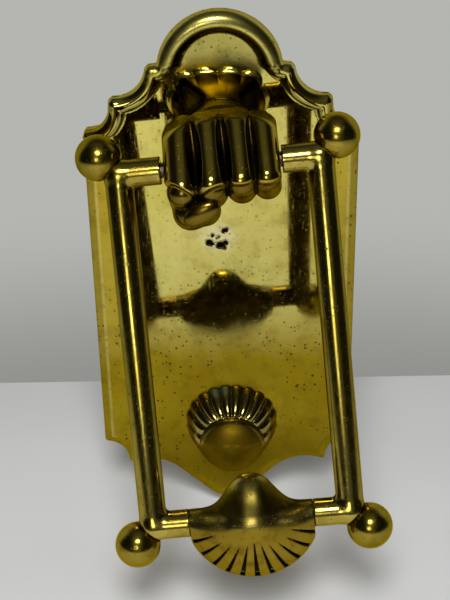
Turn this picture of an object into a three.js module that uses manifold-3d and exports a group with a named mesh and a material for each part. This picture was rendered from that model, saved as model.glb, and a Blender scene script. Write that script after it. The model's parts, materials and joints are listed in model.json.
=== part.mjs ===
// Brass door knocker: a fist in a scalloped cuff holds the pin of a swinging bail.
// Millimetres. +Z up, +X to the viewer's right, the front faces -Y and the door lies on y = 0.
// The origin is on the back face of the backplate, on the stiffening rib at mid height.
import * as THREE from 'three';
import { ConvexGeometry } from 'three/addons/geometries/ConvexGeometry.js';
import { mergeVertices } from 'three/addons/utils/BufferGeometryUtils.js';
import Module from 'manifold-3d';

const wasm = await Module();
wasm.setup();

// ---- driving dimensions ----
const GAP = 0.3;
const PLATE_DEPTH = 7;
const RECESS_DEPTH = 3.8;
const RIM = 4.5;
const RIB_HALF = 11;
const BEVEL = 2.6;
const HALF_WIDTH = 48;
const APEX_Z = 99.5;
const TIP_Z = -99.8;
const SHOULDER_Z = 55.5;
const HOOD_ARCH_RADIUS = 3.5;
const HOOD_SIDE_RADIUS = 2.6;

const PIVOT_Z = 57;
const PIVOT_DEPTH = 37.8;
const TWIST = THREE.MathUtils.degToRad(-4.78);
const SWING = THREE.MathUtils.degToRad(-22.5);

const BAIL_SHIFT = -0.8;
const ROD_X = 32.9;
const ROD_RADIUS = 4.6;
const BAIL_DROP = 117.3;
const STUB_INNER_X = 19.7;
const SHELL_HALF = 20.6;
const BALL_RADIUS = 7.6;
const BALL_OFFSET = 5.9;
const MITRE_GAP = 0.1;
const PEG_RADIUS = 1.8;
const PEG_DEPTH = 5;
const PIN_RADIUS = 2.5;
const PIN_HALF = 26;

const HAND_HALF = 19.2;
const CUFF_X = -2;
const CUFF_Z = 62.3;
const CUFF_FRONT = 24;
const SOCKET_DEPTH = 3;
const WRIST_RADIUS = 10.4;
const STUD_RADIUS = 4;
const NUT_HEIGHT = 2.4;
const NUT_FLATS = 13;
const WASHER_HEIGHT = 0.7;
const WASHER_RADIUS = 8;
const STUD_BACK = 0.5;
const TAPPED_RADIUS = 2;
const TAPPED_DEPTH = 12;

const PAD_X = 2;
const PAD_Z = -62.5;
const PAD_RADIUS = 18.3;
const PAD_HEIGHT = 21;
const PAD_POINT = 25;
const RIBS = 13;

// ---- solids ----
function solid(geometry) {
  const bare = geometry.clone();
  bare.deleteAttribute('normal');
  bare.deleteAttribute('uv');
  const merged = mergeVertices(bare, 1e-4);
  const index = merged.index.array;
  const kept = [];
  for (let i = 0; i < index.length; i += 3) {
    const [a, b, c] = [index[i], index[i + 1], index[i + 2]];
    if (a !== b && b !== c && c !== a) kept.push(a, b, c);
  }
  return new wasm.Manifold(new wasm.Mesh({
    numProp: 3,
    vertProperties: merged.attributes.position.array,
    triVerts: Uint32Array.from(kept),
  }));
}

function geometryOf(manifold) {
  const mesh = manifold.getMesh();
  const geometry = new THREE.BufferGeometry();
  geometry.setAttribute('position', new THREE.BufferAttribute(mesh.vertProperties, 3));
  geometry.setIndex(new THREE.BufferAttribute(mesh.triVerts, 1));
  const flat = geometry.toNonIndexed();
  flat.computeVertexNormals();
  return flat;
}

const joinAll = (solids) => solids.reduce((whole, next) => whole.add(next));
const cutAll = (body, cutters) => cutters.reduce((left, cutter) => left.subtract(cutter), body);

function box(x0, x1, y0, y1, z0, z1) {
  const geometry = new THREE.BoxGeometry(x1 - x0, y1 - y0, z1 - z0);
  return solid(geometry.translate((x0 + x1) / 2, (y0 + y1) / 2, (z0 + z1) / 2));
}

// A rod between two points.
function rod(from, to, radius, sides = 28) {
  const along = to.clone().sub(from);
  const geometry = new THREE.CylinderGeometry(radius, radius, along.length(), sides);
  const up = new THREE.Vector3(0, 1, 0);
  geometry.applyQuaternion(new THREE.Quaternion().setFromUnitVectors(up, along.clone().normalize()));
  const middle = from.clone().add(to).divideScalar(2);
  return solid(geometry.translate(middle.x, middle.y, middle.z));
}

const at = (x, y, z) => new THREE.Vector3(x, y, z);
const rodY = (x, z, y0, y1, radius, sides) => rod(at(x, y0, z), at(x, y1, z), radius, sides);

// The convex body that wraps a list of balls, each given as [x, y, z, radius].
function wrap(balls) {
  const points = [];
  for (const [x, y, z, radius] of balls) {
    const sphere = new THREE.IcosahedronGeometry(radius, 2);
    const position = sphere.attributes.position;
    for (let i = 0; i < position.count; i += 1) {
      points.push(at(position.getX(i) + x, position.getY(i) + y, position.getZ(i) + z));
    }
  }
  return solid(new ConvexGeometry(points));
}

// A closed body through rings of equal point counts, from the front ring to the back one.
function loft(rings) {
  const count = rings[0].length;
  const vertices = rings.flat().flatMap((p) => [p.x, p.y, p.z]);
  const index = [];
  for (let level = 0; level < rings.length - 1; level += 1) {
    for (let i = 0; i < count; i += 1) {
      const a = level * count + i;
      const b = level * count + ((i + 1) % count);
      index.push(a, b + count, b, a, a + count, b + count);
    }
  }
  const flat = (ring) => ring.map((p) => new THREE.Vector2(p.x, p.z));
  const last = (rings.length - 1) * count;
  for (const [a, b, c] of THREE.ShapeUtils.triangulateShape(flat(rings[0]), [])) index.push(a, b, c);
  for (const [a, b, c] of THREE.ShapeUtils.triangulateShape(flat(rings[rings.length - 1]), [])) {
    index.push(last + c, last + b, last + a);
  }
  const geometry = new THREE.BufferGeometry();
  geometry.setAttribute('position', new THREE.Float32BufferAttribute(vertices, 3));
  geometry.setIndex(index);
  return solid(geometry);
}

// ---- backplate ----
// Points of an arc in the plate's plane, angles in degrees from +X.
function arc(x, z, radius, from, to, steps) {
  return Array.from({ length: steps + 1 }, (_, i) => {
    const angle = THREE.MathUtils.degToRad(from + ((to - from) * i) / steps);
    return new THREE.Vector2(x + radius * Math.cos(angle), z + radius * Math.sin(angle));
  });
}

const point = (x, z) => new THREE.Vector2(x, z);
const ARCH = { x: 0, z: 77.9, radius: APEX_Z - 77.9 };
const CAVETTO = { x: 36.5, z: 80.8, radius: 11 };
const STEP_CAVETTO = { x: 47.3, z: 66.3, radius: 8.7 };

// The right half of the outline, from the bottom tip up to the crown of the arch.
function halfOutline() {
  return [
    ...arc(0, TIP_Z + 10, 10, -90, -47, 5),
    ...arc(31, -98.5, 17.5, 135, 68, 7),
    point(38.3, -82.4),
    ...arc(47.6, -80.9, 8.6, 180, 92, 6),
    point(HALF_WIDTH, -71.4),
    point(HALF_WIDTH, SHOULDER_Z),
    ...arc(STEP_CAVETTO.x, STEP_CAVETTO.z, STEP_CAVETTO.radius, 270, 180, 6),
    point(38.4, 68.6),
    ...arc(CAVETTO.x, CAVETTO.z, CAVETTO.radius, 273, 187, 7),
    point(24.4, 80.8),
    ...arc(ARCH.x, ARCH.z, ARCH.radius, 9, 90, 12),
  ];
}

function plateOutline() {
  const right = halfOutline();
  const left = right.slice(1, -1).reverse().map((p) => point(-p.x, p.y));
  return [...right, ...left];
}

// The outline pulled in on all sides by a given distance, as a ring at depth y.
function plateRing(inset, y) {
  const height = (APEX_Z - TIP_Z) / 2;
  const scaleX = 1 - inset / HALF_WIDTH;
  const scaleZ = 1 - inset / height;
  return plateOutline().map((p) => at(p.x * scaleX, y, p.y * scaleZ));
}

// A round bead swept along points of the plate's plane, as one closed solid.
function bead(points, radius, y) {
  const curve = new THREE.CatmullRomCurve3(points.map((p) => at(p.x, y, p.y)), false, 'centripetal');
  const section = new THREE.Shape();
  section.absarc(0, 0, radius, 0, Math.PI * 2);
  return solid(new THREE.ExtrudeGeometry(section, {
    extrudePath: curve,
    steps: points.length,
    curveSegments: 6,
    bevelEnabled: false,
  }));
}

function hood() {
  const y = -PLATE_DEPTH - 0.4;
  const side = HOOD_SIDE_RADIUS;
  const solids = [bead(arc(0, ARCH.z, ARCH.radius - HOOD_ARCH_RADIUS, 4, 176, 18), HOOD_ARCH_RADIUS, y)];
  for (const sign of [1, -1]) {
    const flip = (points) => points.map((p) => point(sign * p.x, p.y));
    const upper = arc(CAVETTO.x, CAVETTO.z, CAVETTO.radius + side, 262, 184, 8);
    const lower = arc(STEP_CAVETTO.x, STEP_CAVETTO.z, STEP_CAVETTO.radius + side, 262, 190, 7);
    solids.push(bead(flip(upper), side, y), bead(flip(lower), side, y));
  }
  return joinAll(solids);
}

// The hollow of one back pocket between two heights, with a rim left all round.
function pocket(bottom, top) {
  const whole = loft([plateRing(RIM, -RECESS_DEPTH), plateRing(RIM, GAP)]);
  return whole.intersect(box(-HALF_WIDTH, HALF_WIDTH, -PLATE_DEPTH, 1, bottom, top));
}

function backplate() {
  const body = loft([
    plateRing(BEVEL, -PLATE_DEPTH),
    plateRing(0.9, -PLATE_DEPTH + 0.9),
    plateRing(0, -PLATE_DEPTH + 2.6),
    plateRing(0, 0),
  ]);
  const cutters = [
    pocket(RIB_HALF, APEX_Z),
    pocket(TIP_Z, -RIB_HALF),
    rodY(CUFF_X, CUFF_Z, -2 * PLATE_DEPTH, 1, STUD_RADIUS + GAP),
    rodY(PAD_X, PAD_Z, -2 * PLATE_DEPTH, 1, STUD_RADIUS + GAP),
  ];
  return cutAll(body.add(hood()), cutters);
}

// ---- fixings, all inside the back pockets ----
function stud(x, z, front) {
  const shank = rodY(x, z, front, -STUD_BACK, STUD_RADIUS);
  return shank.subtract(rodY(x, z, -STUD_BACK - TAPPED_DEPTH, 1, TAPPED_RADIUS, 16));
}

function washer(x, z) {
  const seat = -RECESS_DEPTH + 0.05;
  const disc = rodY(x, z, seat, seat + WASHER_HEIGHT, WASHER_RADIUS, 32);
  return disc.subtract(rodY(x, z, -PLATE_DEPTH, 1, STUD_RADIUS + GAP));
}

function nut(x, z) {
  const seat = -RECESS_DEPTH + WASHER_HEIGHT + 0.1;
  const hexagon = rodY(x, z, seat, seat + NUT_HEIGHT, NUT_FLATS / Math.sqrt(3), 6);
  return hexagon.subtract(rodY(x, z, -PLATE_DEPTH, 1, STUD_RADIUS + 0.15));
}

// ---- cuff and hand, both turned by TWIST on the stud ----
// Radius of the cuff's edge: a rounded square with 13 shallow scallops.
function cuffRadius(angle, half, scallop) {
  const cos = Math.abs(Math.cos(angle)) ** 2.8;
  const sin = Math.abs(Math.sin(angle)) ** 2.8;
  return half / (cos + sin) ** (1 / 2.8) + scallop * Math.abs(Math.cos(angle * 6.5));
}

function cuffRing(y, half, scallop) {
  return Array.from({ length: 78 }, (_, i) => {
    const angle = (i * Math.PI * 2) / 78;
    const radius = cuffRadius(angle, half, scallop);
    return at(CUFF_X + radius * Math.cos(angle), y, CUFF_Z + radius * Math.sin(angle));
  });
}

function cuff() {
  const body = loft([
    cuffRing(-CUFF_FRONT, 11.8, 0),
    cuffRing(-CUFF_FRONT + 1.2, 12.8, 0),
    cuffRing(-PLATE_DEPTH - 8, 13.6, 0.2),
    cuffRing(-PLATE_DEPTH - 2.4, 15.4, 0.6),
    cuffRing(-PLATE_DEPTH - GAP, 16.4, 1.2),
  ]);
  return cutAll(body, [
    rodY(CUFF_X, CUFF_Z, -CUFF_FRONT - 1, -CUFF_FRONT + SOCKET_DEPTH, WRIST_RADIUS + GAP, 36),
    rodY(CUFF_X, CUFF_Z, -CUFF_FRONT - 1, 0, STUD_RADIUS + GAP),
  ]);
}

// The stud's axis as the turned fist sees it.
const STUD_IN_FIST = at(CUFF_X, 0, CUFF_Z - PIVOT_Z).applyAxisAngle(at(0, 1, 0), -TWIST).add(at(0, 0, PIVOT_Z));

// Joints of the curled fingers: x across the fist, then heights of the knuckle and of the bend.
const FINGERS = [
  { x: -13.4, knuckleZ: 65.8, bendZ: 55.8, radius: 5.3 },
  { x: -3.9, knuckleZ: 67.8, bendZ: 56.2, radius: 5.3 },
  { x: 5.8, knuckleZ: 67.7, bendZ: 57.4, radius: 5.1 },
  { x: 14.3, knuckleZ: 66.2, bendZ: 58.2, radius: 4.7 },
];

// Four curled fingers, the back of the hand, the heel and the thumb tucked under the bar.
function hand() {
  const parts = [];
  for (const { x, knuckleZ, bendZ, radius } of FINGERS) {
    const knuckle = [x, -37, knuckleZ, radius];
    const bend = [x, -45.4, bendZ, radius];
    const tip = [x, -41.5, bendZ - 6.2, radius - 0.6];
    const curl = [x, -33, bendZ - 6.8, radius - 0.6];
    parts.push(wrap([knuckle, bend]), wrap([bend, tip]), wrap([tip, curl]));
  }
  const palm = [[-12, -36, 65.5, 5.2], [-3.9, -36, 67.8, 5.2], [6, -36, 67.8, 5.1], [12.8, -36, 66.2, 4.7],
    [-8, -25, 66, 6], [5, -25, 66, 6], [-12, -34, 52, 5.6], [12, -34, 54, 6], [-6, -24, 58, 6], [4, -24, 58, 6]];
  const thumb = [[-14.5, -34.8, 47.5, 5.2], [-12.5, -41.8, 41.8, 5.3], [-6, -46.3, 44.8, 4.4]];
  parts.push(wrap(palm), wrap(thumb.slice(0, 2)), wrap(thumb.slice(1)));
  const wristEnd = -CUFF_FRONT + SOCKET_DEPTH - GAP;
  const { x: studX, z: studZ } = STUD_IN_FIST;
  const pinBore = rod(at(-40, -PIVOT_DEPTH, PIVOT_Z), at(40, -PIVOT_DEPTH, PIVOT_Z), PIN_RADIUS + GAP);
  return joinAll(parts)
    .intersect(box(-HAND_HALF, HAND_HALF, -80, -CUFF_FRONT - GAP, 0, 100))
    .add(rodY(studX, studZ, wristEnd, -26, WRIST_RADIUS, 36))
    .subtract(pinBore)
    .subtract(rodY(studX, studZ, -30, 0, STUD_RADIUS + GAP));
}

// ---- strike pad: a ribbed shell, fan upwards, with a smooth crown and its point down ----
function padRing(level, scale, drop) {
  const lift = -PLATE_DEPTH - GAP - level;
  return Array.from({ length: RIBS * 6 }, (_, i) => {
    const angle = (i * Math.PI * 2) / (RIBS * 6);
    const down = Math.max(0, -Math.sin(angle));
    const reach = PAD_RADIUS + (PAD_POINT - PAD_RADIUS) * down ** 3;
    const flute = 0.7 * Math.max(0, Math.sin(angle) + 0.25) * Math.abs(Math.sin(angle * RIBS * 0.5));
    const radius = (reach + flute) * scale;
    return at(PAD_X + radius * Math.cos(angle), lift, PAD_Z + radius * Math.sin(angle) - drop);
  });
}

function strikePad() {
  const body = loft([
    padRing(PAD_HEIGHT, 0.3, 5),
    padRing(PAD_HEIGHT - 0.8, 0.5, 4.5),
    padRing(PAD_HEIGHT - 4, 0.74, 3),
    padRing(PAD_HEIGHT * 0.45, 0.93, 1),
    padRing(0, 1, 0),
  ]);
  return body.subtract(rodY(PAD_X, PAD_Z, -PLATE_DEPTH - 9, 0, STUD_RADIUS + GAP));
}

// ---- bail, drawn hanging straight down from its pin at the local origin ----
const CORNERS = [
  { name: 'top_left', x: -1, z: 0 },
  { name: 'top_right', x: 1, z: 0 },
  { name: 'bottom_left', x: -1, z: -1 },
  { name: 'bottom_right', x: 1, z: -1 },
];

const cornerAt = ({ x, z }) => at(x * ROD_X, 0, z * BAIL_DROP);
const outward = ({ x, z }) => at(x, 0, z === 0 ? 1 : -1).normalize();

// The block that a mitred corner removes from its side rod, or from its level bar.
function mitre(corner, fromRod) {
  const size = 60;
  const out = outward(corner);
  const towardsBar = at(-out.x, 0, out.z);
  const way = fromRod ? towardsBar : towardsBar.negate();
  const geometry = new THREE.BoxGeometry(size, size, size);
  geometry.applyQuaternion(new THREE.Quaternion().setFromUnitVectors(at(0, 0, 1), way));
  const place = cornerAt(corner).addScaledVector(way, size / 2 - MITRE_GAP / 2);
  return solid(geometry.translate(place.x, place.y, place.z));
}

function peg(corner, grow) {
  const place = cornerAt(corner);
  const out = outward(corner);
  const inner = place.clone().addScaledVector(out, -PEG_DEPTH + BALL_OFFSET - grow);
  const outer = place.clone().addScaledVector(out, BALL_OFFSET * 1.4);
  return rod(inner, outer, PEG_RADIUS + grow, 16);
}

function ball(corner) {
  const centre = cornerAt(corner).addScaledVector(outward(corner), BALL_OFFSET * Math.SQRT2);
  const sphere = solid(new THREE.SphereGeometry(BALL_RADIUS, 22, 14).translate(centre.x, 0, centre.z));
  const level = rod(cornerAt(corner).add(at(corner.x * ROD_RADIUS, 0, 0)),
    cornerAt(corner).add(at(-corner.x * 20, 0, 0)), ROD_RADIUS + GAP);
  const upright = rod(cornerAt(corner).add(at(0, 0, corner.z === 0 ? ROD_RADIUS : -ROD_RADIUS)),
    cornerAt(corner).add(at(0, 0, corner.z === 0 ? -20 : 20)), ROD_RADIUS + GAP);
  return sphere.subtract(level).subtract(upright).add(peg(corner, 0));
}

function sideRod(sign) {
  const [top, bottom] = CORNERS.filter((corner) => corner.x === sign);
  const reach = ROD_RADIUS * 2;
  const bar = rod(at(sign * ROD_X, 0, reach), at(sign * ROD_X, 0, -BAIL_DROP - reach), ROD_RADIUS);
  return cutAll(bar, [mitre(top, true), mitre(bottom, true), peg(top, GAP), peg(bottom, GAP)]);
}

function levelBar(corner, innerX, radius) {
  const z = corner.z * BAIL_DROP;
  const bar = rod(at(corner.x * innerX, 0, z), at(corner.x * (ROD_X + ROD_RADIUS * 2), 0, z), radius);
  return cutAll(bar, [mitre(corner, false), peg(corner, GAP)]);
}

function topStub(corner) {
  const pinHole = rod(at(-PIN_HALF - GAP, 0, 0), at(PIN_HALF + GAP, 0, 0), PIN_RADIUS + 0.15);
  return levelBar(corner, STUB_INNER_X - corner.x * BAIL_SHIFT, ROD_RADIUS).subtract(pinHole);
}

const pivotPin = () => rod(at(-PIN_HALF, 0, 0), at(PIN_HALF, 0, 0), PIN_RADIUS);

// Striker: a scallop shell cast across the bottom bar, crown up and ribbed fan down.
const FAN_RADIUS = 22.3;
const CROWN_HEIGHT = 13.5;
const CROWN_SPREAD = 9.4;
const CROWN_POWER = 2.8;
const FAN_CENTRE_Z = -BAIL_DROP + 2.4;

// One slice of the shell at depth y: a scalloped fan below and the crown's hump above.
function shellRing(y, scale, flute, lift) {
  const ring = [];
  for (let i = 0; i <= 66; i += 1) {
    const angle = Math.PI * (1.04 + (0.92 * i) / 66);
    const radius = (FAN_RADIUS - flute * Math.abs(Math.cos(angle * 6.5))) * scale;
    ring.push(at(radius * Math.cos(angle), y, FAN_CENTRE_Z + lift + radius * Math.sin(angle)));
  }
  for (let i = 0; i <= 24; i += 1) {
    const x = SHELL_HALF * (1 - i / 12);
    const hump = 2 + (CROWN_HEIGHT - 2) * Math.exp(-((Math.abs(x) / CROWN_SPREAD) ** CROWN_POWER));
    ring.push(at(x * scale, y, FAN_CENTRE_Z + lift + hump * scale));
  }
  return ring;
}

function strikerShell() {
  const body = loft([
    shellRing(-12, 0.3, 0, 3),
    shellRing(-10.5, 0.55, 0, 2),
    shellRing(-6, 0.84, 0.2, 0.5),
    shellRing(0, 1, 0.9, 0),
    shellRing(5.6, 0.86, 0.6, 0),
  ]);
  return body.intersect(box(-SHELL_HALF, SHELL_HALF, -30, 30, -BAIL_DROP - 40, 0));
}

// ---- assembly ----
const BRASS = {
  plate: { color: 0xb39a4a, roughness: 0.2, metalness: 1 },
  hand: { color: 0x9a7d2c, roughness: 0.25, metalness: 1 },
  bail: { color: 0xa08a45, roughness: 0.3, metalness: 1 },
  fixing: { color: 0x8c7a4a, roughness: 0.45, metalness: 1 },
};

function piece(name, body, finish) {
  const mesh = new THREE.Mesh(geometryOf(body), new THREE.MeshStandardMaterial(finish));
  mesh.name = name;
  return mesh;
}

const knocker = new THREE.Group();
knocker.add(piece('backplate', backplate(), BRASS.plate));
knocker.add(piece('strike_pad', strikePad(), BRASS.plate));
knocker.add(piece('cuff', cuff(), BRASS.hand));
for (const [name, x, z, front] of [
  ['hand', CUFF_X, CUFF_Z, -29],
  ['pad', PAD_X, PAD_Z, -PLATE_DEPTH - 8],
]) {
  knocker.add(piece(`${name}_stud`, stud(x, z, front), BRASS.fixing));
  knocker.add(piece(`${name}_washer`, washer(x, z), BRASS.fixing));
  knocker.add(piece(`${name}_nut`, nut(x, z), BRASS.fixing));
}

// The fist is turned about the line through the pin's middle, square to the door.
const fist = new THREE.Group();
fist.position.set(0, 0, PIVOT_Z);
fist.rotation.y = TWIST;
const fistPiece = piece('hand', hand(), BRASS.hand);
fistPiece.position.set(0, 0, -PIVOT_Z);
fist.add(fistPiece);
knocker.add(fist);

const bail = new THREE.Group();
bail.position.set(0, -PIVOT_DEPTH, PIVOT_Z);
bail.rotation.set(SWING, TWIST, 0, 'YXZ');
bail.translateX(BAIL_SHIFT);
bail.add(piece('pivot_pin', pivotPin(), BRASS.fixing));
bail.add(piece('side_rod_left', sideRod(-1), BRASS.bail));
bail.add(piece('side_rod_right', sideRod(1), BRASS.bail));
bail.add(piece('striker_shell', strikerShell(), BRASS.bail));
for (const corner of CORNERS) {
  bail.add(piece(`ball_${corner.name}`, ball(corner), BRASS.bail));
  const bar = corner.z === 0 ? topStub(corner) : levelBar(corner, SHELL_HALF + GAP, ROD_RADIUS);
  const side = corner.x < 0 ? 'left' : 'right';
  bail.add(piece(`${corner.z === 0 ? 'top_stub' : 'bottom_bar'}_${side}`, bar, BRASS.bail));
}
knocker.add(bail);

export default knocker;
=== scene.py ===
import json
import math

import bpy
import numpy as np
from mathutils import Matrix, Vector

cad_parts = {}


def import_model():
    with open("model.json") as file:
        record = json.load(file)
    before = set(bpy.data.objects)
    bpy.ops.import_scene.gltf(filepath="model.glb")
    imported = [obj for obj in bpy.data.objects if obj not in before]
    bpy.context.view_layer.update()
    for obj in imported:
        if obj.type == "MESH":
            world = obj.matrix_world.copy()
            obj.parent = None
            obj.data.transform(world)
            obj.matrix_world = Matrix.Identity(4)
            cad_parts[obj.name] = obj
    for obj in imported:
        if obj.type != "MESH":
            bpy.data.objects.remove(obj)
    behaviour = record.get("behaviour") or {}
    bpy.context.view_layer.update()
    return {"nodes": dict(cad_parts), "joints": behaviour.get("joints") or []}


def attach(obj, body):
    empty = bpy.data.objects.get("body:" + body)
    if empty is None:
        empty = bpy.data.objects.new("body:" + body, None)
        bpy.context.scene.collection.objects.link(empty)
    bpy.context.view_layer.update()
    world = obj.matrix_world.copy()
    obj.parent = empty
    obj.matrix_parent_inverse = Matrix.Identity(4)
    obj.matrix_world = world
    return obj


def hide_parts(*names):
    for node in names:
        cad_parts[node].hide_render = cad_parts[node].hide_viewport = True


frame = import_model()
MM = 0.001

# ---- sizes of the part, in millimetres ----
PLATE_DEPTH = 7.0
RECESS_DEPTH = 3.8
RIM = 4.5
RIB_HALF = 11.0
HALF_WIDTH = 48.0
SHOULDER_Z = 55.5
TIP_Z = -99.8
ARCH_Z = 77.9
ARCH_RADIUS = 21.6
STUD_HOLE = 4.3
GAP = 0.3
BAIL_SHIFT = -0.8
ROD_X = 32.9
ROD_RADIUS = 4.6
BAIL_DROP = 117.3
STUB_INNER_X = 19.7
SHELL_HALF = 20.6
SEAM = 0.05
BALL_RADIUS = 7.6
BALL_OFFSET = 5.9
PIN_BORE = 2.8
PIN_SEAT_RADIUS = 2.65
PIN_SEAT_END = 26.3
CUFF_X, CUFF_Z = -2.0, 62.3
CUFF_FRONT = 24.0
SOCKET_DEPTH = 3.0
WRIST_RADIUS = 11.9
PAD_X, PAD_Z = 2.0, -62.5


# ---- the frames of the fist and of the bail ----
def corners_of(node):
    mesh = frame["nodes"][node].data
    flat = np.zeros(len(mesh.vertices) * 3, np.float32)
    mesh.vertices.foreach_get("co", flat)
    return flat.reshape(-1, 3).astype(float)


joint = frame["joints"][0]
PIVOT = np.array(joint["pos_m"], float) / MM
ACROSS = -np.array(joint["axis"], float)
ACROSS /= np.linalg.norm(ACROSS)
BACK = np.array([0.0, 1.0, 0.0])
FIST = np.column_stack([ACROSS, BACK, np.cross(ACROSS, BACK)])
rod_points = corners_of("side_rod_left")
rod_spread = np.linalg.svd(rod_points - rod_points.mean(0), full_matrices=False)[2][0]
UP = rod_spread * (1.0 if rod_spread[2] > 0 else -1.0)
BAIL = np.column_stack([ACROSS, np.cross(UP, ACROSS), UP])
BAIL_ORIGIN = PIVOT + BAIL_SHIFT * ACROSS
PLATE = np.eye(3)
ORIGIN = np.zeros(3)


# ---- fields ----
# Further than any surface
FAR = 99.0


def smin(a, b, k):
    """The smaller of two fields, blended where they are within k of each other."""
    h = np.maximum(k - np.abs(a - b), 0) / k
    return np.minimum(a, b) - h * h * k * 0.25


def smax(a, b, k):
    """The larger of two fields, blended in the same way."""
    return -smin(-a, -b, k)


def sphere(x, y, z, centre, radius):
    return np.sqrt((x - centre[0]) ** 2 + (y - centre[1]) ** 2 + (z - centre[2]) ** 2) - radius


def cone(x, y, z, a, b):
    """A rod with round ends, from ball a to ball b, each (x, y, z, radius)."""
    ax, ay, az, ar = a
    dx, dy, dz = b[0] - ax, b[1] - ay, b[2] - az
    along = ((x - ax) * dx + (y - ay) * dy + (z - az) * dz) / (dx * dx + dy * dy + dz * dz)
    along = np.clip(along, 0, 1)
    px, py, pz = x - ax - along * dx, y - ay - along * dy, z - az - along * dz
    return np.sqrt(px * px + py * py + pz * pz) - ar - (b[3] - ar) * along


def ellipsoid(x, y, z, centre, radii):
    px, py, pz = x - centre[0], y - centre[1], z - centre[2]
    rx, ry, rz = radii
    k0 = np.sqrt((px / rx) ** 2 + (py / ry) ** 2 + (pz / rz) ** 2)
    k1 = np.sqrt((px / rx**2) ** 2 + (py / ry**2) ** 2 + (pz / rz**2) ** 2)
    return k0 * (k0 - 1) / np.maximum(k1, 1e-6)


def step01(t):
    """A smooth step from 0 to 1 as t goes from 0 to 1."""
    t = np.clip(t, 0, 1)
    return t * t * (3 - 2 * t)


# ---- meshing ----
BLOCK = 4
BLOCKS_AT_ONCE = 12000
# How far a crevice is felt for, and how much each distance counts
CREVICE_REACHES = ((0.7, 0.35), (1.5, 0.35), (3.2, 0.3))


def sampled(field, low, high, step):
    """The field on a grid, worked out finely only near the surface."""
    size = [int(math.ceil((h - l) / (step * BLOCK))) for l, h in zip(low, high)]
    centres = [l + (np.arange(n) + 0.5) * step * BLOCK for l, n in zip(low, size)]
    cx, cy, cz = np.meshgrid(*centres, indexing="ij")
    coarse = field(cx, cy, cz)
    values = coarse.astype(np.float32)
    for axis in range(3):
        values = np.repeat(values, BLOCK, axis)
    near = np.argwhere(np.abs(coarse) < step * BLOCK * 1.4)
    inner = (np.arange(BLOCK) + 0.5) * step
    ox, oy, oz = np.meshgrid(inner, inner, inner, indexing="ij")
    nx, ny, nz = size
    tiles = values.reshape(nx, BLOCK, ny, BLOCK, nz, BLOCK).transpose(0, 2, 4, 1, 3, 5)
    for start in range(0, len(near), BLOCKS_AT_ONCE):
        part = near[start : start + BLOCKS_AT_ONCE]
        base = np.array(low) + part * step * BLOCK
        x = base[:, 0, None, None, None] + ox
        y = base[:, 1, None, None, None] + oy
        z = base[:, 2, None, None, None] + oz
        tiles[part[:, 0], part[:, 1], part[:, 2]] = field(x, y, z)
    return values, np.array(low) + 0.5 * step


def surface_net(values, origin, step):
    """Points and quads of the surface where the values change sign."""
    cells = np.array(values.shape)
    inside = values < 0
    ids, points, quads = [], [], []
    for axis in range(3):
        u, w = (axis + 1) % 3, (axis + 2) % 3
        lower = [slice(None)] * 3
        upper = [slice(None)] * 3
        lower[axis] = slice(0, -1)
        upper[axis] = slice(1, None)
        lower[u] = upper[u] = slice(1, -1)
        lower[w] = upper[w] = slice(1, -1)
        changed = np.argwhere(inside[tuple(lower)] != inside[tuple(upper)])
        changed[:, u] += 1
        changed[:, w] += 1
        ahead = changed.copy()
        ahead[:, axis] += 1
        v0 = values[tuple(changed.T)]
        v1 = values[tuple(ahead.T)]
        cross = changed.astype(float)
        cross[:, axis] += v0 / (v0 - v1)
        around = []
        for du, dw in ((0, 0), (1, 0), (1, 1), (0, 1)):
            cell = changed.copy()
            cell[:, u] -= du
            cell[:, w] -= dw
            around.append(np.ravel_multi_index(cell.T, cells))
            ids.append(around[-1])
            points.append(cross)
        quad = np.stack(around, 1)
        quad[v0 >= 0] = quad[v0 >= 0][:, ::-1]
        quads.append(quad)
    ids = np.concatenate(ids)
    points = np.concatenate(points)
    quads = np.concatenate(quads)
    known, which = np.unique(ids, return_inverse=True)
    count = np.bincount(which)
    centre = np.stack([np.bincount(which, points[:, i]) / count for i in range(3)], 1)
    return origin + centre * step, np.searchsorted(known, quads)


def gradient(field, p, reach):
    g = np.zeros_like(p)
    for axis in range(3):
        shift = np.zeros(3)
        shift[axis] = reach
        g[:, axis] = field(*(p + shift).T) - field(*(p - shift).T)
    return g / (2 * reach)


def settle(field, p, step, rounds=3):
    """Moves points on to the surface of the field."""
    for _ in range(rounds):
        g = gradient(field, p, step * 0.25)
        steep = np.maximum((g * g).sum(1), 0.05)
        move = -field(*p.T)[:, None] * g / steep[:, None]
        length = np.maximum(np.linalg.norm(move, axis=1, keepdims=True), 1e-9)
        p = p + move * np.minimum(1, step * 0.5 / length)
    return p


def hollow(field, p, step):
    """0 on open metal, up to 1 deep in a crevice."""
    g = gradient(field, p, step * 0.5)
    steep = np.maximum(np.linalg.norm(g, axis=1), 1e-6)
    n = g / steep[:, None]
    shut = np.zeros(len(p))
    for reach, weight in CREVICE_REACHES:
        shut += weight * np.clip(1 - field(*(p + n * reach).T) / reach / np.minimum(steep, 1), 0, 1)
    return shut


def new_mesh(name, vertices, faces):
    mesh = bpy.data.meshes.new(name)
    mesh.vertices.add(len(vertices))
    mesh.vertices.foreach_set("co", np.ascontiguousarray(vertices, np.float32).ravel())
    sides = faces.shape[1]
    mesh.loops.add(faces.size)
    mesh.loops.foreach_set("vertex_index", np.ascontiguousarray(faces, np.int32).ravel())
    mesh.polygons.add(len(faces))
    mesh.polygons.foreach_set("loop_start", np.arange(0, faces.size, sides, dtype=np.int32))
    mesh.update(calc_edges=True)
    mesh.validate()
    mesh.polygons.foreach_set("use_smooth", np.ones(len(mesh.polygons), bool))
    thing = bpy.data.objects.new(name, mesh)
    bpy.context.scene.collection.objects.link(thing)
    return thing


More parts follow.
